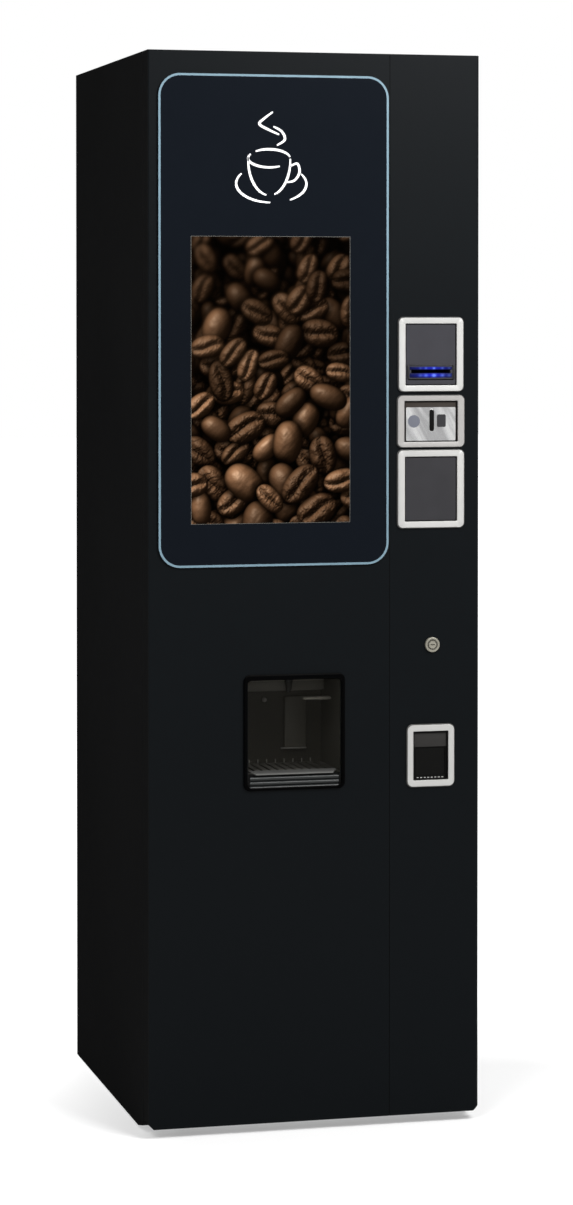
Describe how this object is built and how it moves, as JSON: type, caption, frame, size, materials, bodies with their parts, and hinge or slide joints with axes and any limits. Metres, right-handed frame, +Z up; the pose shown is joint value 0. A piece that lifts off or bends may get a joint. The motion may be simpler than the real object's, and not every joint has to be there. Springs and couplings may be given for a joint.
{
  "type": "hot coffee vending machine",
  "caption": "Free-standing hot drinks vending machine with a hinged door, screen, note and coin readers, cup window with a lifting flap, and the brewing works inside.",
  "frame": {"origin": "on the floor, under the middle of the machine's box", "axes": "+Z up, +X to the right as seen from the front, -Y out of the door"},
  "size_m": [0.58, 0.65, 1.83],
  "materials": {
    "black_paint": "fine satin powder coat",
    "navy_glass": "back-printed gloss sheet with a pale border line",
    "screen": "lit screen",
    "smoked_plastic": "smoked clear sheet",
    "dark_plastic": "moulded, fine grain",
    "grey_plate": "satin",
    "silver_plastic": "silver paint, satin",
    "coin_steel": "brushed",
    "bright_steel": "polished",
    "zinc_sheet": "zinc-plated sheet",
    "boiler_jacket": "bright jacket",
    "electronics_case": "plated sheet look",
    "brass": "plain",
    "clear_plastic": "clear moulding",
    "white_plastic": "moulded",
    "grey_plastic": "moulded",
    "rubber": "moulded"
  },
  "bodies": {
    "cabinet": {"left_side_panel": "black_paint", "right_side_panel": "black_paint", "top_panel": "black_paint", "rear_panel": "black_paint", "base_tray": "zinc_sheet", "mid_shelf": "zinc_sheet", "upper_shelf": "zinc_sheet", "levelling_foot_1": "rubber", "levelling_foot_2": "rubber", "levelling_foot_3": "rubber", "levelling_foot_4": "rubber", "cabinet_hinge_leaf": "bright_steel", "hinge_pin": "bright_steel", "mains_inlet": "dark_plastic", "water_inlet_valve": "brass", "fan_frame": "dark_plastic", "boiler": "boiler_jacket", "water_pump": "bright_steel", "control_box": "electronics_case", "bean_hopper": "clear_plastic", "grinder": "grey_plastic", "brew_unit": "grey_plastic", "canister_1": "clear_plastic", "canister_2": "clear_plastic", "mixing_bowl_1": "grey_plastic", "mixing_bowl_2": "grey_plastic", "waste_bucket": "dark_plastic"},
    "door": {"door_frame": "zinc_sheet", "main_panel": "black_paint", "payment_panel": "black_paint", "fascia": "navy_glass", "display_module": "screen", "bill_bezel": "silver_plastic", "bill_validator": "grey_plate", "coin_bezel": "silver_plastic", "coin_plate": "coin_steel", "blank_bezel": "silver_plastic", "blank_plate": "grey_plate", "return_bezel": "silver_plastic", "return_cup": "dark_plastic", "cup_window_frame": "dark_plastic", "cup_station": "dark_plastic", "drip_grille": "grey_plastic", "coin_mechanism": "grey_plastic", "coin_box": "zinc_sheet", "lock_body": "bright_steel", "door_hinge_leaf": "bright_steel"},
    "cup_flap": {"cup_flap": "smoked_plastic"},
    "coin_return_flap": {"coin_return_flap": "dark_plastic"},
    "coin_return_button": {"coin_return_button": "silver_plastic"},
    "lock_plug": {"lock_plug": "bright_steel"},
    "cup_turret": {"cup_turret": "clear_plastic"},
    "nozzle_arm": {"nozzle_arm": "dark_plastic"},
    "brewer_piston": {"brewer_piston": "white_plastic"},
    "hopper_lid": {"hopper_lid": "dark_plastic"},
    "fan_rotor": {"fan_rotor": "dark_plastic"},
    "auger_1": {"auger_1": "white_plastic"},
    "auger_2": {"auger_2": "white_plastic"},
    "whipper_1": {"whipper_1": "white_plastic"},
    "whipper_2": {"whipper_2": "white_plastic"}
  },
  "joints": [
    {"name": "door_swing", "type": "hinge", "parent": "cabinet", "child": "door", "pos_m": [-0.2878, -0.279, 0.0168], "axis": [0, 0, -1], "range_deg": [0, 100]},
    {"name": "cup_flap_swing", "type": "hinge", "parent": "door", "child": "cup_flap", "pos_m": [-0.0374, -0.3226, 0.7662], "axis": [-1, 0, 0], "range_deg": [0, 80]},
    {"name": "coin_return_flap_swing", "type": "hinge", "parent": "door", "child": "coin_return_flap", "pos_m": [0.203, -0.31635, 0.6431], "axis": [1, 0, 0], "range_deg": [0, 60]},
    {"name": "coin_return_press", "type": "slide", "parent": "door", "child": "coin_return_button", "axis": [0, 1, 0], "range_m": [0, 0.004], "stiffness_N_per_m": 300, "springref_m": -0.001},
    {"name": "lock_turn", "type": "hinge", "parent": "door", "child": "lock_plug", "pos_m": [0.206, -0.3244, 0.8225], "axis": [0, -1, 0], "range_deg": [0, 90]},
    {"name": "turret_turn", "type": "hinge", "parent": "cabinet", "child": "cup_turret", "pos_m": [-0.0627, -0.16218, 0.8023], "axis": [0, 0, 1], "continuous": true},
    {"name": "nozzle_swing", "type": "hinge", "parent": "cabinet", "child": "nozzle_arm", "pos_m": [0.0206, -0.157, 0.7987], "axis": [0, 0, -1], "range_deg": [0, 45]},
    {"name": "piston_press", "type": "slide", "parent": "cabinet", "child": "brewer_piston", "axis": [0, 0, -1], "range_m": [0, 0.065]},
    {"name": "hopper_lid_lift", "type": "hinge", "parent": "cabinet", "child": "hopper_lid", "pos_m": [-0.1845, 0.23, 1.5676], "axis": [-1, 0, 0], "range_deg": [0, 85]},
    {"name": "fan_spin", "type": "hinge", "parent": "cabinet", "child": "fan_rotor", "pos_m": [0, 0.3092, 1.69], "axis": [0, 1, 0], "continuous": true},
    {"name": "auger_1_turn", "type": "hinge", "parent": "cabinet", "child": "auger_1", "pos_m": [0.184, 0.039, 1.2273], "axis": [0, 1, 0], "continuous": true},
    {"name": "auger_2_turn", "type": "hinge", "parent": "cabinet", "child": "auger_2", "pos_m": [0.06, 0.039, 1.2273], "axis": [0, 1, 0], "continuous": true},
    {"name": "whipper_1_spin", "type": "hinge", "parent": "cabinet", "child": "whipper_1", "pos_m": [0.184, -0.087, 1.116], "axis": [0, 1, 0], "continuous": true},
    {"name": "whipper_2_spin", "type": "hinge", "parent": "cabinet", "child": "whipper_2", "pos_m": [0.06, -0.087, 1.116], "axis": [0, 1, 0], "continuous": true}
  ]
}
